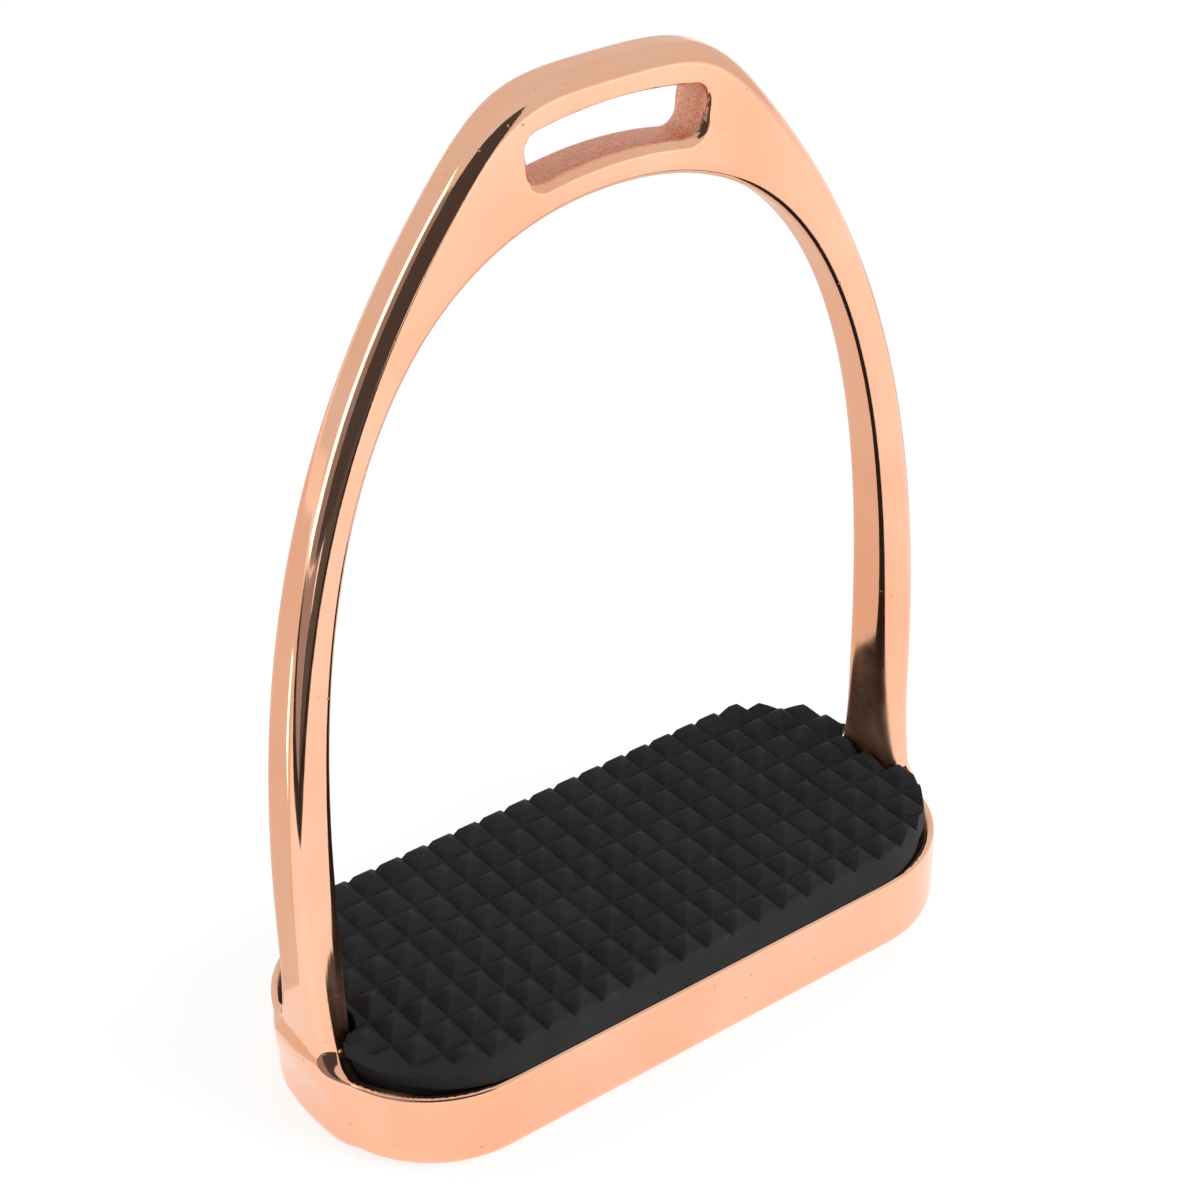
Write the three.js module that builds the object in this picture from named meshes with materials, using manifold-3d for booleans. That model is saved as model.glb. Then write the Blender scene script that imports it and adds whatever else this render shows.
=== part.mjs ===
// A Fillis pattern stirrup iron: one plated casting with a leather eye, two branches and an oval base,
// and the rubber tread that is pushed into the base.
//
// Millimetres, +Z up, X across the width of the iron, Y from front to back.
// The origin is on the ground plane, in the middle of the base.

import * as THREE from "three";
import Module from "manifold-3d";
import { mergeVertices } from "three/addons/utils/BufferGeometryUtils.js";

// Base: an oval ring with a floor, two long windows in the floor and a bar between them.
const RING_HALF_LENGTH = 64.6;
const RING_HALF_WIDTH = 27.2;
const RING_END_RADIUS = 34.6; // the ends bulge gently
const RING_CORNER_RADIUS = 22.4;
const RING_HEIGHT = 15.3;
const RING_WALL = 2.6;
const RING_BOTTOM_ROUND = 2.6;
const RING_RIM_ROUND = 0.7;
const FLOOR_THICKNESS = 3.2;
const FLOOR_LEDGE = 4.6; // from the inside of the wall to the windows
const BAR_WIDTH = 9;
const WINDOW_CORNER = 5;

// Arch: the inside width between the branches is the size that such irons are sold by.
const INSIDE_HALF_WIDTH = 57.2;
const INSIDE_WIDEST_Z = 40;
const INSIDE_FOOT_HALF_WIDTH = 57.9;
const INSIDE_TOP_Z = 150.6;
const OUTSIDE_HALF_WIDTH = 64.7;
const OUTSIDE_WIDEST_Z = 41;
const OUTSIDE_FOOT_HALF_WIDTH = 64.0;
const SHOULDER_X = 29.9; // where the straight flank turns into the crown
const SHOULDER_Z = 156.8;
const SHOULDER_SLOPE = 51; // degrees, of the flank
const CROWN_TOP_Z = 170.3;
const FOOT_Z = 2.5; // where the branches end, inside the base
const OUTER_EDGE_ROUND = 3;
const INNER_EDGE_ROUND = 2.5;

// How far each curve of the arch runs on along its end tangents before it bends.
const OUTSIDE_FOOT_PULL = 10;
const OUTSIDE_LEG_PULL = 25;
const OUTSIDE_RISE_PULL = 56.3;
const FLANK_PULL = 34.5;
const SHOULDER_PULL = 16.8;
const CROWN_PULL = 15.2;
const INSIDE_FOOT_PULL = 8;
const INSIDE_LEG_PULL = 12;
const INSIDE_RISE_PULL = 36.6;
const INSIDE_TOP_PULL = 54.5;

// Depth of the arch from front to back.
const BRANCH_DEPTH = 11;
const CROWN_DEPTH = 8.3;
const FOOT_DEPTH = 16.4;
const FOOT_FLARE_HEIGHT = 20;

// Leather eye: an arched slot with rounded ends.
const EYE_Z = 160.5;
const EYE_HALF_LENGTH = 16.4;
const EYE_HALF_HEIGHT = 4.2;
const EYE_ARCH_RADIUS = 70;
const EYE_CORNER = 2.9;
const EYE_EDGE_ROUND = 0.8;

// Tread: a slab with a pyramid grip, a plug inside the ring, and two lugs through the windows.
const GAP = 0.35;
const REACH = 1; // how far a cutter runs past what it cuts
const TREAD_HALF_LENGTH = 62;
const TREAD_HALF_WIDTH = 26.9;
const TREAD_END_RADIUS = 34;
const TREAD_CORNER_RADIUS = 22;
const TREAD_VALLEY_Z = 20.7;
const PYRAMID_HEIGHT = 2.4;
const PYRAMID_PITCH_X = 5.5;
const PYRAMID_PITCH_Y = 6.75;
const TREAD_DRAFT = 1.4; // how far the side walls lean in over their whole height
const TREAD_STEP_Z = 18.3; // the ends are cut back below this height
const TREAD_STEP_BACK = 1.6;
const NOTCH_HALF_WIDTH = 8.7;
const PLUG_BOTTOM_Z = FLOOR_THICKNESS + GAP;
const LUG_BOTTOM_Z = 0.6;

const metal = new THREE.MeshStandardMaterial({ color: 0xf0ab88, roughness: 0.16, metalness: 1 });
const rubber = new THREE.MeshStandardMaterial({ color: 0x2a2a2b, roughness: 0.85, metalness: 0 });

const wasm = await Module();
wasm.setup();

const vec = (x, y) => new THREE.Vector2(x, y);

/** A closed three.js geometry as a solid that can be joined and cut. */
function solid(geometry) {
  const bare = geometry.clone();
  bare.deleteAttribute("normal");
  bare.deleteAttribute("uv");
  const merged = mergeVertices(bare, 1e-4);
  return new wasm.Manifold(new wasm.Mesh({
    numProp: 3,
    vertProperties: new Float32Array(merged.attributes.position.array),
    triVerts: new Uint32Array(merged.index.array),
  }));
}

/** A solid back as a three.js geometry. */
function toGeometry(body) {
  const mesh = body.getMesh();
  const geometry = new THREE.BufferGeometry();
  geometry.setAttribute("position", new THREE.BufferAttribute(new Float32Array(mesh.vertProperties), 3));
  geometry.setIndex(new THREE.BufferAttribute(new Uint32Array(mesh.triVerts), 1));
  return geometry;
}

/** The points of several curves in a row, without doubling the points where they meet. */
function trace(pieces) {
  const points = [];
  for (const [curve, steps] of pieces) {
    for (const point of curve.getPoints(steps)) {
      const last = points.at(-1);
      if (!last || last.distanceTo(point) > 1e-3) {
        points.push(point);
      }
    }
  }
  return points;
}

/** A right-hand half outline, from its lowest point to its top, made whole by its mirror image. */
function mirrored(half) {
  const left = half.filter((point) => point.x > 1e-6).map((point) => vec(-point.x, point.y));
  return new THREE.Shape([...half, ...left.reverse()]);
}

/** A prism of a front-view outline, from y = -depth / 2 to y = depth / 2, with its outer edges rounded. */
function frontPrism(shape, depth, round, steps) {
  const geometry = new THREE.ExtrudeGeometry(shape, {
    depth: depth - 2 * round,
    bevelEnabled: round > 0,
    bevelThickness: round,
    bevelSize: round,
    bevelOffset: -round,
    bevelSegments: steps,
  });
  geometry.translate(0, 0, round - depth / 2);
  geometry.rotateX(Math.PI / 2);
  return geometry;
}

/** A cutter along Y whose mouth widens at both ends, so that it leaves rounded edges on what it cuts. */
function frontCutter(shape, depth, round, steps) {
  const flared = new THREE.ExtrudeGeometry(shape, {
    depth: depth - 2 * round,
    bevelEnabled: true,
    bevelThickness: round,
    bevelSize: -round,
    bevelOffset: round,
    bevelSegments: steps,
  });
  flared.translate(0, 0, round - depth / 2);
  flared.rotateX(Math.PI / 2);
  const mouth = new THREE.ExtrudeGeometry(shape, {
    depth: depth + 2 * REACH,
    bevelEnabled: false,
  });
  mouth.translate(0, 0, -depth / 2 - REACH);
  mouth.rotateX(Math.PI / 2);
  return solid(flared).add(solid(mouth));
}

/** The oval that the base and the tread share: straight sides, corner arcs and gently bulging ends. */
function oval(halfLength, halfWidth, endRadius, cornerRadius) {
  const endCentre = halfLength - endRadius;
  const rise = halfWidth - cornerRadius;
  const cornerCentre = endCentre + Math.sqrt((endRadius - cornerRadius) ** 2 - rise ** 2);
  const turn = Math.atan2(rise, cornerCentre - endCentre);
  const path = new THREE.Path();
  path.absarc(endCentre, 0, endRadius, -turn, turn, false);
  path.absarc(cornerCentre, rise, cornerRadius, turn, Math.PI / 2, false);
  path.absarc(-cornerCentre, rise, cornerRadius, Math.PI / 2, Math.PI - turn, false);
  path.absarc(-endCentre, 0, endRadius, Math.PI - turn, Math.PI + turn, false);
  path.absarc(-cornerCentre, -rise, cornerRadius, Math.PI + turn, 1.5 * Math.PI, false);
  path.absarc(cornerCentre, -rise, cornerRadius, 1.5 * Math.PI, 2 * Math.PI - turn, false);
  const points = trace([[path, 10]]);
  if (points.at(-1).distanceTo(points[0]) < 1e-3) {
    points.pop();
  }
  return new THREE.Shape(points);
}

/** The ring's oval, moved inwards. */
function ringOval(inset) {
  return oval(
    RING_HALF_LENGTH - inset,
    RING_HALF_WIDTH - inset,
    RING_END_RADIUS - inset,
    RING_CORNER_RADIUS - inset,
  );
}

/** A plate of an outline seen from above, from z = low to z = high. */
function plate(shape, low, high) {
  const geometry = new THREE.ExtrudeGeometry(shape, { depth: high - low, bevelEnabled: false });
  geometry.translate(0, 0, low);
  return solid(geometry);
}

/** A plate of an outline seen from above, with its upper and lower edges rounded. */
function roundedPlate(shape, low, high, round, steps) {
  const geometry = new THREE.ExtrudeGeometry(shape, {
    depth: high - low - 2 * round,
    bevelThickness: round,
    bevelSize: round,
    bevelOffset: -round,
    bevelSegments: steps,
  });
  geometry.translate(0, 0, low + round);
  return solid(geometry);
}

/** A floor window, or the lug that fills it when inset, on the +Y side (1) or the -Y side (-1). */
function windowShape(inset, side) {
  const edge = RING_WALL + FLOOR_LEDGE + inset;
  const halfLength = RING_HALF_LENGTH - edge - RING_WALL;
  const near = BAR_WIDTH / 2 + inset;
  const far = RING_HALF_WIDTH - edge;
  const outerCorner = far - near - WINDOW_CORNER + inset;
  const innerCorner = WINDOW_CORNER - inset;
  const shape = new THREE.Shape();
  shape.absarc(halfLength - outerCorner, far - outerCorner, outerCorner, 0, Math.PI / 2, false);
  shape.absarc(-halfLength + outerCorner, far - outerCorner, outerCorner, Math.PI / 2, Math.PI, false);
  shape.absarc(-halfLength + innerCorner, near + innerCorner, innerCorner, Math.PI, 1.5 * Math.PI, false);
  shape.absarc(halfLength - innerCorner, near + innerCorner, innerCorner, 1.5 * Math.PI, 2 * Math.PI, false);
  return new THREE.Shape(trace([[shape, 6]]).map((point) => vec(side * point.x, side * point.y)));
}

/** Both windows, or both lugs, as plates. */
function windowPlates(inset, low, high) {
  return plate(windowShape(inset, 1), low, high).add(plate(windowShape(inset, -1), low, high));
}

/** The base of the iron: two plates that overlap where both have their full outline, hollowed from above. */
function makeBase() {
  const lower = roundedPlate(ringOval(0), 0, RING_HEIGHT - RING_RIM_ROUND - REACH, RING_BOTTOM_ROUND, 4);
  const upper = roundedPlate(ringOval(0), RING_BOTTOM_ROUND + REACH, RING_HEIGHT, RING_RIM_ROUND, 2);
  const pocket = plate(ringOval(RING_WALL), FLOOR_THICKNESS, RING_HEIGHT + REACH);
  const windows = windowPlates(0, -REACH, FLOOR_THICKNESS + REACH);
  return lower.add(upper).subtract(pocket).subtract(windows);
}

/** The outside of the arch, from the right foot to the top of the crown. */
function outsideHalf() {
  const foot = vec(OUTSIDE_FOOT_HALF_WIDTH, FOOT_Z);
  const widest = vec(OUTSIDE_HALF_WIDTH, OUTSIDE_WIDEST_Z);
  const shoulder = vec(SHOULDER_X, SHOULDER_Z);
  const top = vec(0, CROWN_TOP_Z);
  const slope = THREE.MathUtils.degToRad(SHOULDER_SLOPE);
  const along = vec(-Math.cos(slope), Math.sin(slope));
  const leg = new THREE.CubicBezierCurve(
    foot,
    vec(foot.x, foot.y + OUTSIDE_FOOT_PULL),
    vec(widest.x, widest.y - OUTSIDE_LEG_PULL),
    widest,
  );
  const side = new THREE.CubicBezierCurve(
    widest,
    vec(widest.x, widest.y + OUTSIDE_RISE_PULL),
    shoulder.clone().addScaledVector(along, -FLANK_PULL),
    shoulder,
  );
  const crown = new THREE.CubicBezierCurve(
    shoulder,
    shoulder.clone().addScaledVector(along, SHOULDER_PULL),
    vec(CROWN_PULL, top.y),
    top,
  );
  return trace([[leg, 8], [side, 26], [crown, 12]]);
}

/** The inside of the arch, from below the right foot to the top. */
function insideHalf() {
  const low = vec(INSIDE_FOOT_HALF_WIDTH, FOOT_Z - REACH);
  const foot = vec(INSIDE_FOOT_HALF_WIDTH, RING_HEIGHT);
  const widest = vec(INSIDE_HALF_WIDTH, INSIDE_WIDEST_Z);
  const top = vec(0, INSIDE_TOP_Z);
  const leg = new THREE.CubicBezierCurve(
    foot,
    vec(foot.x, foot.y + INSIDE_FOOT_PULL),
    vec(widest.x, widest.y - INSIDE_LEG_PULL),
    widest,
  );
  const span = new THREE.CubicBezierCurve(
    widest,
    vec(widest.x, widest.y + INSIDE_RISE_PULL),
    vec(INSIDE_TOP_PULL, top.y),
    top,
  );
  return trace([[new THREE.LineCurve(low, foot), 1], [leg, 6], [span, 34]]);
}

/**
 * The eye's outline: a rounded slot bent along an arc.
 * An odd span count leaves a level facet in the middle.
 */
function eyeShape() {
  const flat = [];
  const corners = [
    [1, 1, 0],
    [-1, 1, 1],
    [-1, -1, 2],
    [1, -1, 3],
  ];
  const cornerX = EYE_HALF_LENGTH - EYE_CORNER;
  const cornerY = EYE_HALF_HEIGHT - EYE_CORNER;
  const turns = 5;
  const spans = 7;
  for (const [sideX, sideY, quarter] of corners) {
    for (let i = 0; i <= turns; i += 1) {
      const angle = (quarter + i / turns) * (Math.PI / 2);
      const x = sideX * cornerX + EYE_CORNER * Math.cos(angle);
      const y = sideY * cornerY + EYE_CORNER * Math.sin(angle);
      flat.push(vec(x, y));
    }
    if (quarter % 2 === 0) {
      const from = flat.at(-1);
      for (let i = 1; i < spans; i += 1) {
        flat.push(vec(from.x * (1 - (2 * i) / spans), from.y));
      }
    }
  }
  const bent = flat.map((point) => {
    const angle = point.x / EYE_ARCH_RADIUS;
    const radius = EYE_ARCH_RADIUS + point.y;
    return vec(radius * Math.sin(angle), EYE_Z - EYE_ARCH_RADIUS + radius * Math.cos(angle));
  });
  return new THREE.Shape(bent);
}

/** The depth of the arch at a height: flared at the feet, thinner towards the crown. */
function archDepth(z) {
  const climb = THREE.MathUtils.clamp((z - INSIDE_WIDEST_Z) / (INSIDE_TOP_Z - INSIDE_WIDEST_Z), 0, 1);
  const flare = THREE.MathUtils.clamp(1 - (z - RING_HEIGHT) / FOOT_FLARE_HEIGHT, 0, 1);
  return THREE.MathUtils.lerp(BRANCH_DEPTH, CROWN_DEPTH, climb) + (FOOT_DEPTH - BRANCH_DEPTH) * flare ** 2;
}

/** The branches and the crown in one piece, made at the crown's depth and then spread to the true depth. */
function makeArch() {
  const outside = frontPrism(mirrored(outsideHalf()), CROWN_DEPTH, OUTER_EDGE_ROUND, 4);
  const inside = frontCutter(mirrored(insideHalf()), CROWN_DEPTH, INNER_EDGE_ROUND, 2);
  const eye = frontCutter(eyeShape(), CROWN_DEPTH, EYE_EDGE_ROUND, 2);
  const body = solid(outside).subtract(inside).subtract(eye);
  const geometry = toGeometry(body);
  const position = geometry.attributes.position;
  for (let i = 0; i < position.count; i += 1) {
    position.setY(i, (position.getY(i) * archDepth(position.getZ(i))) / CROWN_DEPTH);
  }
  return solid(geometry);
}

/** Saw-tooth ridges that run along one direction, as a prism. */
function ridges(pitch, halfCount, run) {
  const shape = new THREE.Shape();
  shape.moveTo(-halfCount * pitch, PLUG_BOTTOM_Z);
  for (let i = -halfCount; i < halfCount; i += 1) {
    shape.lineTo(i * pitch, TREAD_VALLEY_Z);
    shape.lineTo((i + 0.5) * pitch, TREAD_VALLEY_Z + PYRAMID_HEIGHT);
  }
  shape.lineTo(halfCount * pitch, TREAD_VALLEY_Z);
  shape.lineTo(halfCount * pitch, PLUG_BOTTOM_Z);
  const geometry = new THREE.ExtrudeGeometry(shape, { depth: run, bevelEnabled: false });
  geometry.translate(0, 0, -run / 2);
  geometry.rotateX(Math.PI / 2);
  return geometry;
}

/** The tread's oval, with its length cut back at both ends. */
function treadOval(cut) {
  return oval(TREAD_HALF_LENGTH - cut, TREAD_HALF_WIDTH, TREAD_END_RADIUS - cut, TREAD_CORNER_RADIUS);
}

/** The slab's block before the grip is cut: side walls that lean in, and ends cut back low down. */
function slabBlock() {
  const base = RING_HEIGHT + GAP;
  const top = TREAD_VALLEY_Z + PYRAMID_HEIGHT + REACH;
  const leaning = new THREE.ExtrudeGeometry(treadOval(0), {
    depth: GAP,
    bevelThickness: top - base,
    bevelSize: TREAD_DRAFT,
    bevelOffset: -TREAD_DRAFT,
    bevelSegments: 1,
  });
  leaning.translate(0, 0, base - GAP);
  const lower = plate(treadOval(TREAD_STEP_BACK), base, TREAD_STEP_Z);
  const upper = plate(treadOval(0), TREAD_STEP_Z, top);
  return solid(leaning).intersect(lower.add(upper));
}

/** The slots at the tread's ends that clear the feet of the branches. */
function notches() {
  const length = TREAD_END_RADIUS;
  const height = TREAD_VALLEY_Z + PYRAMID_HEIGHT + REACH;
  const box = new THREE.BoxGeometry(length, 2 * NOTCH_HALF_WIDTH, height);
  const centre = INSIDE_HALF_WIDTH - GAP + length / 2;
  const right = box.clone().translate(centre, 0, height / 2);
  const left = box.clone().translate(-centre, 0, height / 2);
  return solid(right).add(solid(left));
}

/** The rubber tread. */
function makeTread() {
  const columns = Math.ceil(TREAD_HALF_LENGTH / PYRAMID_PITCH_X);
  const rows = Math.ceil(TREAD_HALF_WIDTH / PYRAMID_PITCH_Y);
  const across = ridges(PYRAMID_PITCH_X, columns, 2 * (TREAD_HALF_WIDTH + REACH));
  const along = ridges(PYRAMID_PITCH_Y, rows, 2 * (TREAD_HALF_LENGTH + REACH));
  along.rotateZ(Math.PI / 2);
  const grip = solid(across).intersect(solid(along));
  const slab = slabBlock().intersect(grip);
  const plug = plate(ringOval(RING_WALL + GAP), PLUG_BOTTOM_Z, RING_HEIGHT + REACH);
  const lugs = windowPlates(GAP, LUG_BOTTOM_Z, FLOOR_THICKNESS + REACH);
  return slab.add(plug).add(lugs).subtract(notches());
}

/** A named mesh of a finished solid. */
function piece(name, body, material) {
  const geometry = toGeometry(body);
  geometry.computeVertexNormals();
  const mesh = new THREE.Mesh(geometry, material);
  mesh.name = name;
  return mesh;
}

const stirrup = new THREE.Group();
stirrup.add(piece("iron", makeBase().add(makeArch()), metal));
stirrup.add(piece("tread", makeTread(), rubber));

export default stirrup;
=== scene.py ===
"""A stirrup iron with a rubber tread.

Blender works in metres, and the shapes here are worked out in millimetres. Both pieces are skins of solid
fields. A field is negative inside its solid, and outside it is close to the distance from it.
"""

import math

import bpy
import numpy as np
from mathutils import Matrix, Vector


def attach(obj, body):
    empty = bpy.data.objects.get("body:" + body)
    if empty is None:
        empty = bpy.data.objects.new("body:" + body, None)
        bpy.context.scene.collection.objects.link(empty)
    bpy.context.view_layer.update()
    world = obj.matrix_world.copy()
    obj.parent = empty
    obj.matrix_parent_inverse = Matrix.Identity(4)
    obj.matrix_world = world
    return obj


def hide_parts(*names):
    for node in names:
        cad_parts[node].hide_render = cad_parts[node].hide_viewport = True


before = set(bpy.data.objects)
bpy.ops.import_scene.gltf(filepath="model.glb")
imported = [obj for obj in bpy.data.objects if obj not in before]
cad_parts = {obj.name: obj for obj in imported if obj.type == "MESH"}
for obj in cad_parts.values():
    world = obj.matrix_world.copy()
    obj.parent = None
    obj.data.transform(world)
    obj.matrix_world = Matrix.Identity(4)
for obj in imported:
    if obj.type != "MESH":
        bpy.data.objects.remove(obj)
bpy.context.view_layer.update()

MM = 0.001

# Base: an oval ring with a floor and two windows.
RING_HALF_LENGTH = 64.6
RING_HALF_WIDTH = 27.2
RING_END_RADIUS = 34.6
RING_CORNER_RADIUS = 22.4
RING_HEIGHT = 15.3
RING_WALL = 2.6
RING_BOTTOM_ROUND = 2.6
RING_RIM_ROUND = 0.6
RING_RIM_INNER_ROUND = 1.8
RING_POCKET_ROUND = 1.2
FLOOR_THICKNESS = 3.2
FLOOR_LEDGE = 4.6
BAR_WIDTH = 9.0
WINDOW_HALF_LENGTH = 54.8
WINDOW_CORNER = 5.0
WINDOW_EDGE_ROUND = 0.8

# Arch, seen from the front.
INSIDE_HALF_WIDTH = 57.2
INSIDE_WIDEST_Z = 40.0
INSIDE_FOOT_HALF_WIDTH = 57.9
INSIDE_TOP_Z = 150.6
OUTSIDE_HALF_WIDTH = 64.7
OUTSIDE_WIDEST_Z = 41.0
OUTSIDE_FOOT_HALF_WIDTH = 64.0
SHOULDER = (29.9, 156.8)
SHOULDER_SLOPE = math.radians(51)
CROWN_TOP_Z = 170.3
FOOT_Z = 2.5
BURIED = 6.0  # how far the outside curve runs on below the foot

# Lengths of the handles at the ends of the arch's curves.
OUTSIDE_FOOT_PULL = 10.0
OUTSIDE_LEG_PULL = 25.0
OUTSIDE_RISE_PULL = 56.3
FLANK_PULL = 34.5
SHOULDER_PULL = 16.8
CROWN_PULL = 15.2
INSIDE_FOOT_PULL = 8.0
INSIDE_LEG_PULL = 12.0
INSIDE_RISE_PULL = 36.6
INSIDE_TOP_PULL = 54.5

# Arch, from front to back.
BRANCH_DEPTH = 11.0
CROWN_DEPTH = 8.3
FOOT_DEPTH = 16.4
FOOT_FLARE_HEIGHT = 27.0
THINNING_FROM_Z = 20.0
THINNING_TO_Z = 160.6
OUTER_EDGE_ROUND = 3.0
INNER_EDGE_ROUND = 2.5
ROOT_FILLET = 4.0
ROOT_TUCK = 2.5
ROOT_TUCK_HEIGHT = 10.0

# Leather eye.
EYE_Z = 160.5
EYE_HALF_LENGTH = 16.4
EYE_HALF_HEIGHT = 4.2
EYE_ARCH_RADIUS = 70.0
EYE_CORNER = 2.9
EYE_UPPER_ROUND = 0.6
EYE_LOWER_ROUND = 1.7
EYE_ROUND_TURN = (-3.5, 1.5)

# Tread.
SEAT_GAP = 0.1
PLUG_GAP = 0.35
TREAD_HALF_LENGTH = 62.9
TREAD_HALF_WIDTH = 26.9
TREAD_END_RADIUS = 34.0
TREAD_CORNER_RADIUS = 22.0
TREAD_VALLEY_Z = 20.7
PYRAMID_HEIGHT = 2.4
PYRAMID_PITCH_X = 5.5
PYRAMID_PITCH_Y = 6.75
TREAD_DRAFT = 0.166
TREAD_STEP_Z = 18.3
TREAD_STEP_BACK = 1.6
NOTCH_GAP = 0.4
NOTCH_SPREAD = 0.55
NOTCH_SPREAD_FROM = 2.0
NOTCH_CORNER = 2.5
LUG_BOTTOM_Z = 0.6
PLUG_ROUND = 1.0
TREAD_EDGE_ROUND = 0.15
TREAD_BOTTOM_ROUND = 0.1
TREAD_STEP_ROUND = 0.2
NOTCH_EDGE_ROUND = 0.3
FOOT_REACH = 8.0
OVERLAP = 1.0

# Cells of the skins. Those near the rim are the flattest.
GRID_FROM_Z = -1.0
IRON_CELL = 0.615
BASE_CELLS = 23
RIM_CELLS = 8
RIM_CELLS_FROM_Z = RING_HEIGHT - 2.1
RIM_CELLS_TO_Z = RING_HEIGHT + 0.3
CELLS_PER_PYRAMID = 10
TREAD_CELL_HEIGHT = 0.5

# Colours of the plate, of raw metal and of the rubber.
PLATE_DEEP = (0.97, 0.48, 0.30, 1)
PLATE_PALE = (0.985, 0.56, 0.38, 1)
# The edge colour is a paler plate: partly rubbed wear, partly a painted highlight on the rounded edges.
PLATE_WORN_AND_HIGHLIGHT_EDGE = (0.98, 0.66, 0.50, 1)
PLATE_PIT = (0.38, 0.16, 0.10, 1)
RAW_DEEP = (0.72, 0.31, 0.20, 1)
RAW_PALE = (0.96, 0.55, 0.40, 1)
RUBBER_DARK = (0.0125, 0.0125, 0.0128, 1)
RUBBER_GREY = (0.0185, 0.0185, 0.019, 1)
RUBBER_WORN = (0.03, 0.03, 0.0305, 1)
RUBBER_SPECK = (0.22, 0.21, 0.20, 1)

# Camera: angles in degrees, lengths in metres, and the lens in millimetres.
CAMERA_AZIMUTH = -36.13
CAMERA_ELEVATION = 32.7
CAMERA_ROLL = -1.05
CAMERA_DISTANCE = 0.4164
CAMERA_TARGET = (-0.00206, 0, 0.0779)
CAMERA_LENS = 76.9
SENSOR_WIDTH = 36

# Studio, in metres. The sheets that are seen only in reflections lie just above the floor or stand round it.
FLOOR_HALF = 3.0
FLOOR_DROP = 0.0002
ROOM_LIGHT = 0.76
LIGHT_SIZE = 0.6
LIGHT_TARGET = (0, 0, 0.05)
SHEET_LIFT = 0.0006
SHEET_REACH = 0.9
WALL_DISTANCE = 1.1
WALL_HEIGHT = 1.1


# --- Solid fields ---------------------------------------------------------------------------------


def meet(a, b, radius):
    """What two solids share, with the edge between them rounded."""
    over = np.hypot(np.maximum(a + radius, 0), np.maximum(b + radius, 0))
    return np.minimum(np.maximum(a, b), -radius) + over


def join(a, b, radius):
    """Both solids in one, with a fillet between them."""
    under = np.hypot(np.maximum(radius - a, 0), np.maximum(radius - b, 0))
    return np.maximum(np.minimum(a, b), radius) - under


def ease(low, high, value):
    """0 below low, 1 above high, and smooth in between."""
    t = np.clip((value - low) / (high - low), 0, 1)
    return t * t * (3 - 2 * t)


def oval(x, y, half_length, half_width, end_radius, corner_radius):
    """Distance from an oval of straight sides, corner arcs and gently bulging ends, seen from above."""
    end_centre = half_length - end_radius
    rise = half_width - corner_radius
    corner_centre = end_centre + math.sqrt((end_radius - corner_radius) ** 2 - rise**2)
    turn = math.atan2(rise, corner_centre - end_centre)
    at_end = (x > end_centre) & (np.arctan2(y, x - end_centre) < turn)
    end = np.hypot(x - end_centre, y) - end_radius
    corner = np.hypot(x - corner_centre, y - rise) - corner_radius
    return np.where(at_end, end, np.where(x < corner_centre, y - half_width, corner))


def ring_oval(x, y):
    return oval(x, y, RING_HALF_LENGTH, RING_HALF_WIDTH, RING_END_RADIUS, RING_CORNER_RADIUS)


def bezier(p0, p1, p2, p3):
    return np.array([p0, p1, p2, p3], float)


def outside_curves():
    """The outside of the right half of the arch, from its foot to the top of the crown."""
    foot = np.array([OUTSIDE_FOOT_HALF_WIDTH, FOOT_Z])
    low = foot - [0, BURIED]
    widest = np.array([OUTSIDE_HALF_WIDTH, OUTSIDE_WIDEST_Z])
    shoulder = np.array(SHOULDER)
    top = np.array([0, CROWN_TOP_Z])
    along = np.array([-math.cos(SHOULDER_SLOPE), math.sin(SHOULDER_SLOPE)])
    return [
        bezier(low, low + [0, 2], foot - [0, 2], foot),
        bezier(foot, foot + [0, OUTSIDE_FOOT_PULL], widest - [0, OUTSIDE_LEG_PULL], widest),
        bezier(widest, widest + [0, OUTSIDE_RISE_PULL], shoulder - along * FLANK_PULL, shoulder),
        bezier(shoulder, shoulder + along * SHOULDER_PULL, top + [CROWN_PULL, 0], top),
    ]


def inside_curves():
    """The inside of the right half of the arch, from below its foot to the top."""
    foot = np.array([INSIDE_FOOT_HALF_WIDTH, RING_HEIGHT])
    low = foot - [0, RING_HEIGHT + 4]
    widest = np.array([INSIDE_HALF_WIDTH, INSIDE_WIDEST_Z])
    top = np.array([0, INSIDE_TOP_Z])
    return [
        bezier(low, low + [0, 4], foot - [0, 4], foot),
        bezier(foot, foot + [0, INSIDE_FOOT_PULL], widest - [0, INSIDE_LEG_PULL], widest),
        bezier(widest, widest + [0, INSIDE_RISE_PULL], top + [INSIDE_TOP_PULL, 0], top),
    ]


def curve_point(curve, t):
    p0, p1, p2, p3 = curve
    return (1 - t) ** 3 * p0 + 3 * (1 - t) ** 2 * t * p1 + 3 * (1 - t) * t * t * p2 + t**3 * p3


def curve_speed(curve, t):
    p0, p1, p2, p3 = curve
    return 3 * ((1 - t) ** 2 * (p1 - p0) + 2 * (1 - t) * t * (p2 - p1) + t * t * (p3 - p2))


def nearest_share(curve, point):
    """How far along a curve its nearest place to each point lies, from 0 to 1."""
    p0, p1, p2, p3 = curve
    starts = np.linspace(0, 1, 25)
    samples = curve_point(curve, starts[:, None])
    far = (point[:, None, 0] - samples[None, :, 0]) ** 2 + (point[:, None, 1] - samples[None, :, 1]) ** 2
    t = starts[far.argmin(1)][:, None]
    for _ in range(4):
        speed = curve_speed(curve, t)
        bend = 6 * ((1 - t) * (p2 - 2 * p1 + p0) + t * (p3 - 2 * p2 + p1))
        off = curve_point(curve, t) - point
        slope = (off * speed).sum(1, keepdims=True)
        rate = (speed * speed).sum(1, keepdims=True) + (off * bend).sum(1, keepdims=True)
        least_rate = 0.2 * (speed * speed).sum(1, keepdims=True)
        t = np.clip(t - slope / np.maximum(rate, least_rate), 0, 1)
    return t


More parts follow.
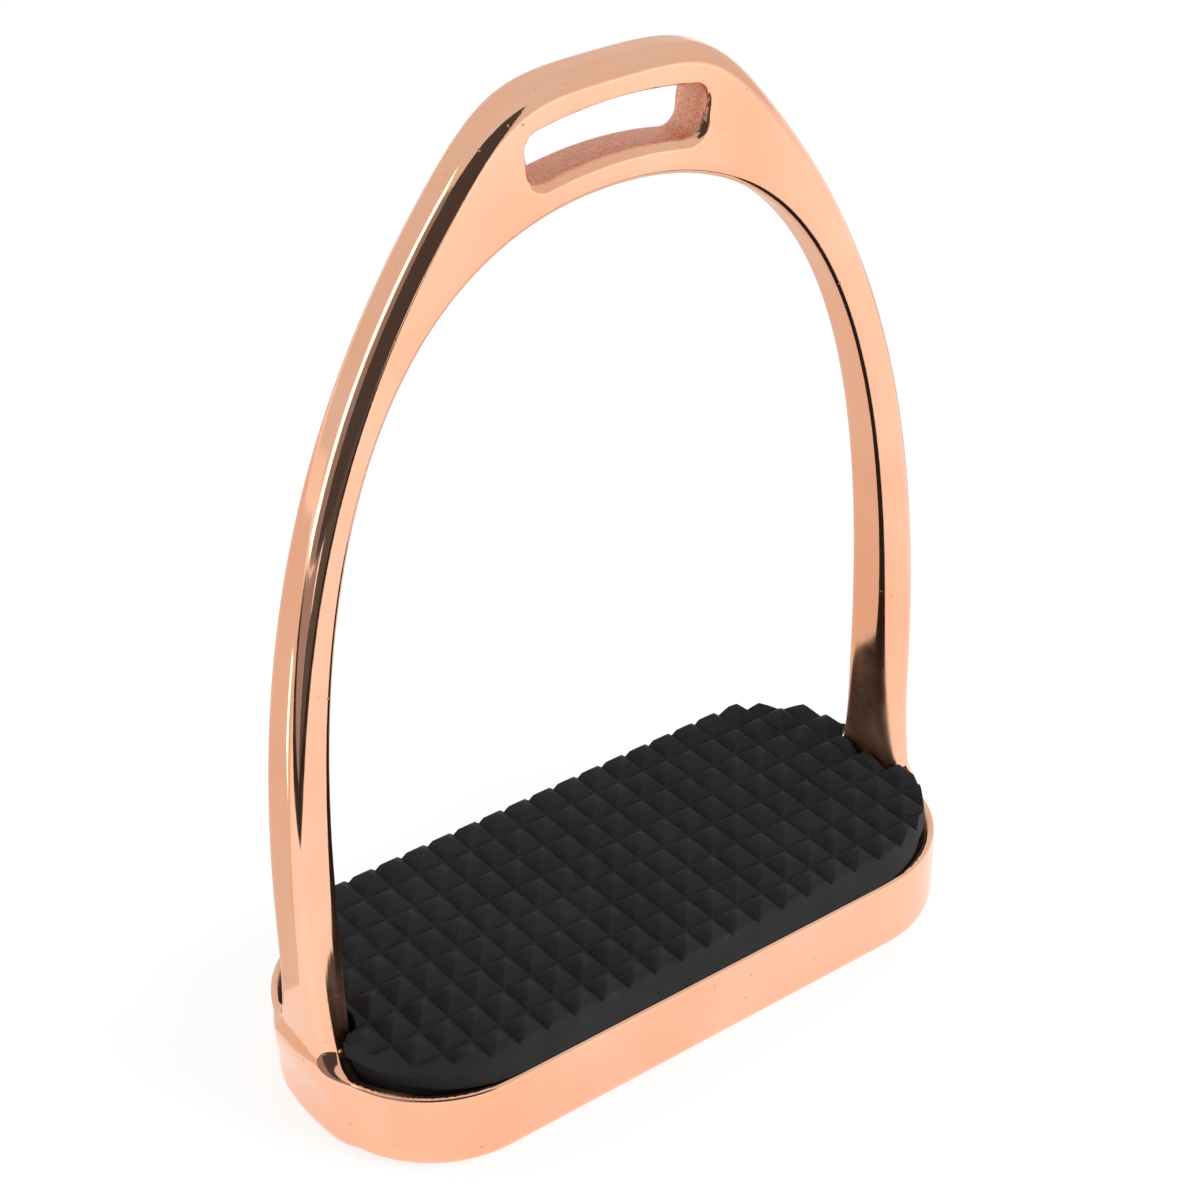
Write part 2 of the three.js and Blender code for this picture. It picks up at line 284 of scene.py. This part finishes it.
def curve_distance(x, z, curves):
    """Signed distance from a chain of curves, negative on their left as they run."""
    x, z = np.broadcast_arrays(x, z)
    shape = x.shape
    point = np.stack([x.ravel(), z.ravel()], -1)
    best = np.full(len(point), np.inf)
    signed = np.zeros(len(point))
    for curve in curves:
        t = nearest_share(curve, point)
        speed = curve_speed(curve, t)
        off = point - curve_point(curve, t)
        distance = np.hypot(off[:, 0], off[:, 1])
        right = speed[:, 0] * off[:, 1] - speed[:, 1] * off[:, 0] < 0
        closer = distance < best - 1e-9
        best = np.where(closer, distance, best)
        signed = np.where(closer, np.where(right, distance, -distance), signed)
    return signed.reshape(shape)


OUTSIDE = outside_curves()
INSIDE = inside_curves()


def eye_place(x, z):
    """Where a point lies in the eye before the eye is bent: along it and across it."""
    centre_z = EYE_Z - EYE_ARCH_RADIUS
    along = EYE_ARCH_RADIUS * np.arctan2(x, z - centre_z)
    return along, np.hypot(x, z - centre_z) - EYE_ARCH_RADIUS


def eye_distance(x, z):
    """Distance from the outline of the eye, negative in the opening."""
    along, across = eye_place(x, z)
    a = np.abs(along) - EYE_HALF_LENGTH + EYE_CORNER
    b = np.abs(across) - EYE_HALF_HEIGHT + EYE_CORNER
    return np.hypot(np.maximum(a, 0), np.maximum(b, 0)) + np.minimum(np.maximum(a, b), 0) - EYE_CORNER


def arch_depth(z):
    """The depth of the arch at a height, from front to back."""
    climb = ease(THINNING_FROM_Z, THINNING_TO_Z, z)
    flare = np.clip(1 - (z - RING_HEIGHT) / FOOT_FLARE_HEIGHT, 0, 1.15)
    thinning = (CROWN_DEPTH - BRANCH_DEPTH) * climb
    return BRANCH_DEPTH + thinning + (FOOT_DEPTH - BRANCH_DEPTH) * flare**3


def arch_field(x, y, z):
    depth = arch_depth(z)
    side = y - depth / 2
    tuck = ROOT_TUCK * ease(0, ROOT_TUCK_HEIGHT, RING_HEIGHT - z)
    shell = meet(curve_distance(x, z, OUTSIDE) + tuck, side, OUTER_EDGE_ROUND)
    opening = meet(-curve_distance(x, z, INSIDE), side, INNER_EDGE_ROUND)
    upper = ease(*EYE_ROUND_TURN, eye_place(x, z)[1])
    lip = EYE_LOWER_ROUND + (EYE_UPPER_ROUND - EYE_LOWER_ROUND) * upper
    eye = meet(-eye_distance(x, z), side, lip)
    return np.maximum(np.maximum(shell, opening), np.maximum(eye, FOOT_Z - z))


def window_field(x, y, inset):
    """Distance from the outline of the two floor windows, moved in by an inset."""
    outer = ring_oval(x, y) + RING_WALL + FLOOR_LEDGE + inset
    beside_bar = BAR_WIDTH / 2 + inset - y
    end = x - WINDOW_HALF_LENGTH + inset
    return meet(meet(outer, beside_bar, WINDOW_CORNER - inset), end, WINDOW_CORNER - inset)


def ring_field(x, y, z):
    edge = ring_oval(x, y)
    block = meet(meet(edge, -z, RING_BOTTOM_ROUND), z - RING_HEIGHT, RING_RIM_ROUND)
    pocket = meet(edge + RING_WALL, FLOOR_THICKNESS - z, RING_POCKET_ROUND)
    cup = meet(block, -pocket, RING_RIM_INNER_ROUND)
    return meet(cup, -window_field(x, y, 0), WINDOW_EDGE_ROUND)


def iron_field(x, y, z):
    x = np.abs(x)
    y = np.abs(y)
    return np.maximum(join(arch_field(x, y, z), ring_field(x, y, z), ROOT_FILLET), -z)


def pyramids(x, y):
    """Height of the grip above its valleys, from 0 to 1, with slightly blunt ridges and tips."""
    across = np.abs((x / PYRAMID_PITCH_X) % 1 - 0.5) * 2
    along = np.abs((y / PYRAMID_PITCH_Y) % 1 - 0.5) * 2
    ridge_blunt = 0.06
    tip_blunt = 0.08
    share = np.clip(0.5 + 0.5 * (across - along) / ridge_blunt, 0, 1)
    slope = along * (1 - share) + across * share + ridge_blunt * share * (1 - share)
    return 1 - (np.hypot(slope, tip_blunt) - tip_blunt) / (math.hypot(1, tip_blunt) - tip_blunt)


def tread_side(x, y, cut):
    """Distance from the tread's outline, with its ends moved in by a cut."""
    return oval(
        x, y, TREAD_HALF_LENGTH - cut, TREAD_HALF_WIDTH, TREAD_END_RADIUS - cut, TREAD_CORNER_RADIUS
    )


def tread_field(x, y, z):
    base = RING_HEIGHT + SEAT_GAP
    steepness = 0.78  # distance to a pyramid's side, as a share of the height above it
    top = (z - TREAD_VALLEY_Z - PYRAMID_HEIGHT * pyramids(x, y)) * steepness
    x, y, z = np.broadcast_arrays(np.abs(x), np.abs(y), z)
    side = tread_side(x, y, 0) + TREAD_DRAFT * (z - base)
    under = np.maximum(-tread_side(x, y, TREAD_STEP_BACK), z - TREAD_STEP_Z)
    slab = meet(meet(side, top, TREAD_EDGE_ROUND), base - z, TREAD_BOTTOM_ROUND)
    slab = meet(slab, -under, TREAD_STEP_ROUND)
    plug = meet(ring_oval(x, y) + RING_WALL + PLUG_GAP, FLOOR_THICKNESS + PLUG_GAP - z, PLUG_ROUND)
    plug = np.maximum(np.maximum(plug, tread_side(x, y, TREAD_STEP_BACK)), z - RING_HEIGHT - OVERLAP)
    lug_ends = np.maximum(LUG_BOTTOM_Z - z, z - FLOOR_THICKNESS - OVERLAP)
    lugs = np.maximum(window_field(x, y, PLUG_GAP), lug_ends)
    body = np.minimum(np.minimum(slab, plug), lugs)
    spread = NOTCH_SPREAD * np.maximum(x - INSIDE_HALF_WIDTH - NOTCH_SPREAD_FROM, 0)
    notch_edge = arch_depth(z) / 2 + NOTCH_GAP + spread
    notch = meet(INSIDE_HALF_WIDTH - PLUG_GAP - x, y - notch_edge, NOTCH_CORNER)
    body = meet(body, -notch, NOTCH_EDGE_ROUND)
    near_foot = (x > INSIDE_HALF_WIDTH - FOOT_REACH) & (y < FOOT_DEPTH)
    foot = iron_field(x[near_foot], y[near_foot], z[near_foot])
    body[near_foot] = np.maximum(body[near_foot], SEAT_GAP - foot)
    return body


# --- Skins ----------------------------------------------------------------------------------------


def slope_of(field, points):
    """The field's gradient at some points."""
    reach = 0.01
    grad = []
    for shift in np.eye(3) * reach:
        grad.append((field(*(points + shift).T) - field(*(points - shift).T)) / (2 * reach))
    return np.stack(grad, -1)


def facing(field, points):
    """The direction that the surface faces at some points."""
    grad = slope_of(field, points)
    return grad / np.maximum(np.linalg.norm(grad, axis=1, keepdims=True), 1e-9)


def ticks(low, high, step):
    """Grid lines a step apart, from half a step below low, so that low is in the middle of a cell."""
    return np.arange(low - step / 2, high + step, step)


def surface_nets(field, axes, sharp):
    """Points and quads of a field's surface: one point in each cell that it crosses.

    A sharp surface has its points drawn to the edges and corners that its cells hold.
    """
    values = field(axes[0][:, None, None], axes[1][None, :, None], axes[2][None, None, :])
    inside = values < 0
    cells = np.array(values.shape) - 1
    ids, places, rings = [], [], []
    for axis in range(3):
        first = [slice(None)] * 3
        second = [slice(None)] * 3
        first[axis] = slice(None, -1)
        second[axis] = slice(1, None)
        index = np.argwhere(inside[tuple(first)] != inside[tuple(second)])
        beyond = index + np.eye(3, dtype=int)[axis]
        v0 = values[tuple(index.T)]
        v1 = values[tuple(beyond.T)]
        share = (v0 / (v0 - v1))[:, None]
        places.append(grid_points(axes, index) * (1 - share) + grid_points(axes, beyond) * share)
        b, c = (axis + 1) % 3, (axis + 2) % 3
        around = []
        for db, dc in ((0, 0), (-1, 0), (-1, -1), (0, -1)):
            cell = index.copy()
            cell[:, b] += db
            cell[:, c] += dc
            around.append(np.ravel_multi_index(cell.T, cells))
        ids.append(np.stack(around, -1))
        ring = ids[-1].copy()
        ring[v0 > 0] = ring[v0 > 0][:, ::-1]
        rings.append(ring)
    places = np.concatenate(places)
    ids = np.concatenate(ids)
    used, inverse = np.unique(ids, return_inverse=True)
    inverse = inverse.reshape(ids.shape)
    crossing = np.repeat(np.arange(len(places)), 4)
    owner = inverse.ravel()
    count = np.bincount(owner)
    middle = np.stack([np.bincount(owner, places[crossing, k]) / count for k in range(3)], -1)
    if sharp:
        middle = draw_to_edges(field, middle, places, crossing, owner)
        cell = np.stack(np.unravel_index(used, cells), -1)
        middle = np.clip(middle, grid_points(axes, cell), grid_points(axes, cell + 1))
    return middle, np.searchsorted(used, np.concatenate(rings))


def grid_points(axes, index):
    return np.stack([axis[index[:, k]] for k, axis in enumerate(axes)], -1)


def draw_to_edges(field, middle, places, crossing, owner):
    """Moves each cell's point to where the planes at the cell's crossings meet, if they do."""
    hold = 0.08
    normals = facing(field, places)[crossing]
    off = (normals * (places[crossing] - middle[owner])).sum(1)
    matrix = np.empty((len(middle), 3, 3))
    pull = np.empty((len(middle), 3))
    for i in range(3):
        pull[:, i] = np.bincount(owner, normals[:, i] * off)
        for j in range(3):
            matrix[:, i, j] = np.bincount(owner, normals[:, i] * normals[:, j])
    matrix += hold * np.eye(3)
    return middle + np.linalg.solve(matrix, pull[:, :, None])[:, :, 0]


def along_edges(field, points, quads):
    """Each quad as two triangles, split along the diagonal that lies nearer to the surface."""
    first = np.abs(field(*((points[quads[:, 0]] + points[quads[:, 2]]) / 2).T))
    second = np.abs(field(*((points[quads[:, 1]] + points[quads[:, 3]]) / 2).T))
    turned = np.where((second < first)[:, None], np.roll(quads, -1, axis=1), quads)
    return np.concatenate([turned[:, [0, 1, 2]], turned[:, [0, 2, 3]]])


def skin(name, field, axes, sharp=False):
    """A mesh object of a field's surface, shaded with the field's own directions."""
    least_slope = 0.3
    longest_move = 0.4
    toward_middle = 0.25
    points, faces = surface_nets(field, axes, sharp)
    for _ in range(2):
        grad = slope_of(field, points)
        move = field(*points.T) / np.maximum((grad**2).sum(1), least_slope)
        points = points - grad * np.clip(move, -longest_move, longest_move)[:, None]
    if sharp:
        faces = along_edges(field, points, faces)
    mesh = bpy.data.meshes.new(name)
    mesh.vertices.add(len(points))
    mesh.vertices.foreach_set("co", (points * MM).ravel())
    mesh.loops.add(faces.size)
    mesh.loops.foreach_set("vertex_index", faces.ravel().astype(np.int32))
    mesh.polygons.add(len(faces))
    starts = np.arange(0, faces.size, faces.shape[1], dtype=np.int32)
    mesh.polygons.foreach_set("loop_start", starts)
    mesh.update(calc_edges=True)
    mesh.shade_smooth()
    if sharp:
        corners = points[faces]
        inward = corners + (corners.mean(1, keepdims=True) - corners) * toward_middle
        mesh.normals_split_custom_set(facing(field, inward.reshape(-1, 3)))
    else:
        mesh.normals_split_custom_set_from_vertices(facing(field, points))
    piece = bpy.data.objects.new(name, mesh)
    bpy.context.scene.collection.objects.link(piece)
    return piece, points


def mark(piece, name, values):
    """Stores one number for each point of a piece, for its material."""
    attribute = piece.data.attributes.new(name, "FLOAT", "POINT")
    attribute.data.foreach_set("value", np.asarray(values, np.float32))


# --- Materials ------------------------------------------------------------------------------------


class Nodes:
    """A short way to build a node tree."""

    def __init__(self, name):
        self.material = bpy.data.materials.new(name)
        self.material.use_nodes = True
        self.tree = self.material.node_tree
        self.tree.nodes.clear()

    def add(self, kind, inputs=None, **settings):
        """A new node, with each input linked to a socket or set to a value."""
        node = self.tree.nodes.new(kind)
        for key, value in settings.items():
            setattr(node, key, value)
        for key, value in (inputs or {}).items():
            if isinstance(value, bpy.types.NodeSocket):
                self.tree.links.new(value, node.inputs[key])
            else:
                node.inputs[key].default_value = value
        return node

    def noise(self, place, scale, detail=3.0, rough=0.55):
        made = self.add(
            "ShaderNodeTexNoise",
            {"Vector": place, "Scale": scale, "Detail": detail, "Roughness": rough},
        )
        return made.outputs["Fac"]

    def remap(self, value, low, high, to_low, to_high):
        made = self.add(
            "ShaderNodeMapRange",
            {"Value": value, "From Min": low, "From Max": high, "To Min": to_low, "To Max": to_high},
        )
        return made.outputs["Result"]

    def math(self, operation, a, b):
        return self.add("ShaderNodeMath", {0: a, 1: b}, operation=operation).outputs[0]

    def mix(self, share, a, b):
        made = self.add("ShaderNodeMix", data_type="RGBA")
        for index, value in ((0, share), (6, a), (7, b)):
            if isinstance(value, bpy.types.NodeSocket):
                self.tree.links.new(value, made.inputs[index])
            else:
                made.inputs[index].default_value = value
        return made.outputs[2]

    def bump(self, height, distance, strength, normal=None):
        inputs = {"Height": height, "Distance": distance, "Strength": strength}
        if normal is not None:
            inputs["Normal"] = normal
        return self.add("ShaderNodeBump", inputs).outputs["Normal"]


def metal_material():
    """Polished rose-gold plate, with raw metal where grain is marked, a duller plate where satin is, and a
    paler plate where edge is marked, which is partly rubbed wear and partly a painted highlight.
    """
    n = Nodes("rose_gold_plate")
    place = n.add("ShaderNodeTexCoord").outputs["Object"]
    grain = n.add("ShaderNodeAttribute", attribute_name="grain").outputs["Fac"]
    edge = n.add("ShaderNodeAttribute", attribute_name="edge").outputs["Fac"]
    satin = n.add("ShaderNodeAttribute", attribute_name="satin").outputs["Fac"]
    drawn = n.add("ShaderNodeMapping", {"Vector": place, "Scale": (1.0, 1.0, 0.05)}).outputs["Vector"]
    streak = n.noise(drawn, 330.0, 3.0)
    broad = n.noise(place, 28.0, 2.0)
    cloud = n.noise(place, 140.0, 4.0)
    cast = n.noise(place, 2300.0, 3.0, 0.7)
    pits = n.add("ShaderNodeTexVoronoi", {"Vector": place, "Scale": 420.0, "Randomness": 1.0})
    pit_on = n.remap(n.noise(place, 90.0, 1.0), 0.52, 0.62, 0.0, 1.0)
    pit = n.math("MULTIPLY", n.remap(pits.outputs["Distance"], 0.05, 0.11, 1.0, 0.0), pit_on)
    plate = n.mix(n.remap(broad, 0.35, 0.65, 0.0, 1.0), PLATE_DEEP, PLATE_PALE)
    # Paler plate on the marked edges: partly rubbed wear, partly a painted highlight.
    plate = n.mix(n.math("MULTIPLY", edge, 0.25), plate, PLATE_WORN_AND_HIGHLIGHT_EDGE)
    plate = n.mix(n.math("MULTIPLY", pit, 0.6), plate, PLATE_PIT)
    raw = n.mix(n.remap(cast, 0.35, 0.65, 0.0, 1.0), RAW_DEEP, RAW_PALE)
    color = n.mix(grain, plate, raw)
    polish = n.remap(cloud, 0.3, 0.7, 0.05, 0.12)
    rough = n.math("ADD", polish, n.math("MULTIPLY", grain, n.remap(cast, 0.3, 0.7, 0.22, 0.42)))
    rough = n.math("ADD", rough, n.math("MULTIPLY", pit, 0.3))
    rough = n.math("ADD", rough, n.math("MULTIPLY", satin, n.remap(cloud, 0.3, 0.7, 0.22, 0.32)))
    normal = n.bump(broad, 0.0006, 0.14)
    normal = n.bump(streak, 0.00008, 0.35, normal)
    normal = n.bump(n.math("MULTIPLY", cast, grain), 0.00045, 0.9, normal)
    normal = n.bump(n.math("SUBTRACT", 1.0, pit), 0.00006, 0.5, normal)
    shader = n.add(
        "ShaderNodeBsdfPrincipled",
        {"Base Color": color, "Metallic": 1.0, "Roughness": rough, "Normal": normal},
    )
    n.add("ShaderNodeOutputMaterial", {"Surface": shader.outputs["BSDF"]})
    return n.material


def rubber_material():
    """Black rubber, paler on the worn crests of the grip, with specks of dust."""
    n = Nodes("black_rubber")
    place = n.add("ShaderNodeTexCoord").outputs["Object"]
    crest = n.add("ShaderNodeAttribute", attribute_name="crest").outputs["Fac"]
    cloud = n.noise(place, 60.0, 4.0)
    fine = n.noise(place, 3200.0, 2.0)
    patch = n.noise(place, 260.0, 3.0)
    specks = n.add("ShaderNodeTexVoronoi", {"Vector": place, "Scale": 640.0, "Randomness": 1.0})
    speck_on = n.remap(n.noise(place, 75.0, 2.0), 0.48, 0.62, 0.0, 1.0)
    speck = n.math("MULTIPLY", n.remap(specks.outputs["Distance"], 0.03, 0.075, 1.0, 0.0), speck_on)
    body = n.mix(n.remap(cloud, 0.3, 0.7, 0.0, 1.0), RUBBER_DARK, RUBBER_GREY)
    worn = n.math("MULTIPLY", n.remap(crest, 0.55, 1.0, 0.0, 1.0), n.remap(patch, 0.4, 0.7, 0.1, 0.8))
    body = n.mix(worn, body, RUBBER_WORN)
    color = n.mix(n.math("MULTIPLY", speck, 0.45), body, RUBBER_SPECK)
    rough = n.remap(patch, 0.3, 0.7, 0.62, 0.78)
    normal = n.bump(n.math("ADD", fine, n.math("MULTIPLY", patch, 1.4)), 0.00006, 0.5)
    shader = n.add("ShaderNodeBsdfPrincipled", {"Base Color": color, "Roughness": rough, "Normal": normal})
    shader.inputs["Specular IOR Level"].default_value = 0.22
    n.add("ShaderNodeOutputMaterial", {"Surface": shader.outputs["BSDF"]})
    return n.material


# --- The two pieces -------------------------------------------------------------------------------


def eye_grain(x, y, z):
    """1 on the raw wall of the eye, and 0 from its lips outward."""
    depth_in = arch_depth(z) / 2 - y
    at_wall = ease(-1.2, -0.1, -np.abs(eye_distance(x, z)))
    return at_wall * ease(0.5, 1.4, depth_in) * (z > INSIDE_TOP_Z)


def pocket_grain(x, y, z):
    """1 on the raw inside of the base, and 0 near its rim and its bottom."""
    past_wall = 0.9 - (ring_oval(x, y) + RING_WALL)
    return ease(0.4, 1.4, past_wall) * (z < RING_HEIGHT - 2) * (z > 0.5)


def edge_wear_and_highlight(x, y, z):
    """1 on the outer edges of the arch and on the rim of the base, where the plate is made paler: partly
    rubbed wear, partly a painted highlight.
    """
    side = y - arch_depth(z) / 2
    near_outer = ease(-2.2, 0.0, -np.abs(curve_distance(x, z, OUTSIDE) - side)) * (z > RING_HEIGHT)
    near_rim = ease(-1.5, 0.0, -np.abs(z - RING_HEIGHT)) * ease(-2.5, 0, -np.abs(ring_oval(x, y)))
    return near_outer + near_rim


def satin_inside(x, z):
    """1 low on the inner faces of the branches, fading out about a third of the way up."""
    inner_face = ease(-4.0, -0.5, -np.abs(curve_distance(x, z, INSIDE))) * (z > FLOOR_THICKNESS + 1)
    return inner_face * ease(-52, -24, -z)


def make_iron():
    reach_x = (math.ceil(OUTSIDE_HALF_WIDTH / IRON_CELL) + 2) * IRON_CELL
    reach_y = (math.ceil(RING_HALF_WIDTH / IRON_CELL) + 2) * IRON_CELL
    heights = np.concatenate(
        [
            np.linspace(GRID_FROM_Z, RIM_CELLS_FROM_Z, BASE_CELLS, endpoint=False),
            np.linspace(RIM_CELLS_FROM_Z, RIM_CELLS_TO_Z, RIM_CELLS, endpoint=False),
            np.arange(RIM_CELLS_TO_Z, CROWN_TOP_Z + 2 * IRON_CELL, IRON_CELL),
        ]
    )
    axes = [ticks(-reach_x, reach_x, IRON_CELL), ticks(-reach_y, reach_y, IRON_CELL), heights]
    piece, points = skin("stirrup_iron", iron_field, axes)
    x, y, z = np.abs(points[:, 0]), np.abs(points[:, 1]), points[:, 2]
    mark(piece, "grain", np.clip(eye_grain(x, y, z) + pocket_grain(x, y, z), 0, 1))
    # The edge mark makes the plate paler: partly rubbed wear, partly a painted highlight.
    mark(piece, "edge", np.clip(edge_wear_and_highlight(x, y, z), 0, 1))
    mark(piece, "satin", satin_inside(x, z))
    return piece


def make_tread():
    step_x = PYRAMID_PITCH_X / CELLS_PER_PYRAMID
    step_y = PYRAMID_PITCH_Y / CELLS_PER_PYRAMID
    reach_x = (math.ceil(TREAD_HALF_LENGTH / step_x) + 2) * step_x
    reach_y = (math.ceil(TREAD_HALF_WIDTH / step_y) + 2) * step_y
    top = TREAD_VALLEY_Z + PYRAMID_HEIGHT + 1.5
    heights = ticks(GRID_FROM_Z, top, TREAD_CELL_HEIGHT)
    axes = [ticks(-reach_x, reach_x, step_x), ticks(-reach_y, reach_y, step_y), heights]
    piece, points = skin("rubber_tread", tread_field, axes, sharp=True)
    mark(piece, "crest", np.clip((points[:, 2] - TREAD_VALLEY_Z) / PYRAMID_HEIGHT, 0, 1))
    return piece


iron = make_iron()
iron.data.materials.append(metal_material())
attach(iron, "iron_body")
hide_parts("iron")

tread = make_tread()
tread.data.materials.append(rubber_material())
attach(tread, "tread_body")
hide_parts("tread")


# --- Camera and studio ----------------------------------------------------------------------------


def floor_material():
    """A pale floor that glows like a light table, so that shadows on it are faint."""
    n = Nodes("pale_floor")
    grey = (0.28, 0.28, 0.28, 1)
    shader = n.add("ShaderNodeBsdfPrincipled", {"Base Color": grey, "Roughness": 0.9})
    shader.inputs["Specular IOR Level"].default_value = 0.0
    shader.inputs["Emission Color"].default_value = (1, 1, 1, 1)
    shader.inputs["Emission Strength"].default_value = ROOM_LIGHT
    n.add("ShaderNodeOutputMaterial", {"Surface": shader.outputs["BSDF"]})
    return n.material


def sheet_object(name, corners, material):
    """A flat sheet of the studio, which isn't part of the stirrup iron."""
    mesh = bpy.data.meshes.new(name)
    mesh.from_pydata([Vector(c) for c in corners], [], [list(range(len(corners)))])
    made = bpy.data.objects.new(name, mesh)
    bpy.context.scene.collection.objects.link(made)
    made.data.materials.append(material)
    return made


def area_light(name, place, power):
    """A soft light that polished metal doesn't mirror."""
    data = bpy.data.lights.new(name, "AREA")
    data.size = LIGHT_SIZE
    data.energy = power
    made = bpy.data.objects.new(name, data)
    made.location = place
    aim = Vector(LIGHT_TARGET) - Vector(place)
    made.rotation_euler = aim.to_track_quat("-Z", "Y").to_euler()
    bpy.context.scene.collection.objects.link(made)
    made.visible_camera = False
    made.visible_glossy = False


def make_camera():
    azimuth = math.radians(CAMERA_AZIMUTH)
    elevation = math.radians(CAMERA_ELEVATION)
    roll = math.radians(CAMERA_ROLL)
    level = math.cos(elevation)
    back = Vector((math.sin(azimuth) * level, -math.cos(azimuth) * level, math.sin(elevation)))
    right = Vector((math.cos(azimuth), math.sin(azimuth), 0))
    up = back.cross(right)
    tilted_right = right * math.cos(roll) + up * math.sin(roll)
    tilted_up = up * math.cos(roll) - right * math.sin(roll)
    data = bpy.data.cameras.new("camera")
    data.lens = CAMERA_LENS
    data.sensor_width = SENSOR_WIDTH
    camera = bpy.data.objects.new("camera", data)
    place = Vector(CAMERA_TARGET) + back * CAMERA_DISTANCE
    turn = Matrix((tilted_right, tilted_up, back)).transposed().to_4x4()
    camera.matrix_world = Matrix.Translation(place) @ turn
    bpy.context.scene.collection.objects.link(camera)
    bpy.context.scene.camera = camera


def glow_material(name, strength, color=(1, 1, 1)):
    n = Nodes(name)
    shader = n.add("ShaderNodeEmission", {"Color": (*color, 1), "Strength": strength})
    n.add("ShaderNodeOutputMaterial", {"Surface": shader.outputs["Emission"]})
    return n.material


def reflector(name, corners, strength, color=(1, 1, 1)):
    """A sheet that is seen only in reflections, such as a wall, a window or the edge of the table."""
    made = sheet_object(name, corners, glow_material(name, strength, color))
    made.visible_camera = False
    made.visible_diffuse = False
    made.visible_shadow = False
    made.visible_transmission = False


def toward(azimuth, distance, z, start=(0, 0)):
    """A point at a distance from a start, in the direction of an azimuth. 0 is the front, 90 the left."""
    a = math.radians(azimuth)
    return start[0] - distance * math.sin(a), start[1] - distance * math.cos(a), z


def wedge(tip, first, last):
    """The corners of a flat sheet that spreads from its tip between two azimuths."""
    return [tip, toward(first, SHEET_REACH, tip[2], tip), toward(last, SHEET_REACH, tip[2], tip)]


def make_floor():
    half = FLOOR_HALF
    corners = [(-half, -half, 0), (half, -half, 0), (half, half, 0), (-half, half, 0)]
    floor = sheet_object("floor", corners, floor_material())
    floor.location.z = -FLOOR_DROP


def make_light():
    world = bpy.data.worlds.new("studio")
    world.use_nodes = True
    background = world.node_tree.nodes["Background"]
    background.inputs["Color"].default_value = (1, 1, 1, 1)
    background.inputs["Strength"].default_value = ROOM_LIGHT
    bpy.context.scene.world = world
    area_light("front", (0.55, -0.85, 0.55), 7.5)
    area_light("back", (-0.5, 0.7, 0.9), 1.5)


def make_reflections():
    """What the metal mirrors: the floor and the table's edge, and past it the room and its window."""
    foot = (-OUTSIDE_HALF_WIDTH * MM, 0)
    low = SHEET_LIFT / 2
    behind = [(-0.6, 0.029, low), (0.45, 0.029, low), (0.45, 0.8, low), (-0.6, 0.8, low)]
    reflector("floor_behind", behind, 0.80, (1.0, 0.92, 0.85))
    tip = toward(48, 0.092, SHEET_LIFT, foot)
    reflector("table_edge", wedge(tip, -22, 118), 0.03)
    inner = toward(48, 0.04, 2 * SHEET_LIFT, tip)
    reflector("table_leg", wedge(inner, 50, 111), 0.36, (1.0, 0.9, 0.88))
    reflector("room_floor", wedge(inner, -12, 42), 0.10)
    glow_corners = ((120, 0.115), (134, 0.15), (134, 0.27), (122, 0.27))
    glow = [toward(azimuth, distance, SHEET_LIFT, foot) for azimuth, distance in glow_corners]
    reflector("window_glow", glow, 3.0)
    for name, start, end, strength in (
        ("room_wall_dark", -12, 72, 0.07),
        ("room_wall_warm", 72, 100, 0.30),
        ("room_window", 103, 122, 3.0),
    ):
        wall = [
            toward(start, WALL_DISTANCE, 0, foot),
            toward(end, WALL_DISTANCE, 0, foot),
            toward(end, WALL_DISTANCE, WALL_HEIGHT, foot),
            toward(start, WALL_DISTANCE, WALL_HEIGHT, foot),
        ]
        reflector(name, wall, strength, (1.0, 0.95, 0.98))


make_camera()
make_floor()
make_light()
make_reflections()
bpy.context.scene.view_settings.view_transform = "Standard"
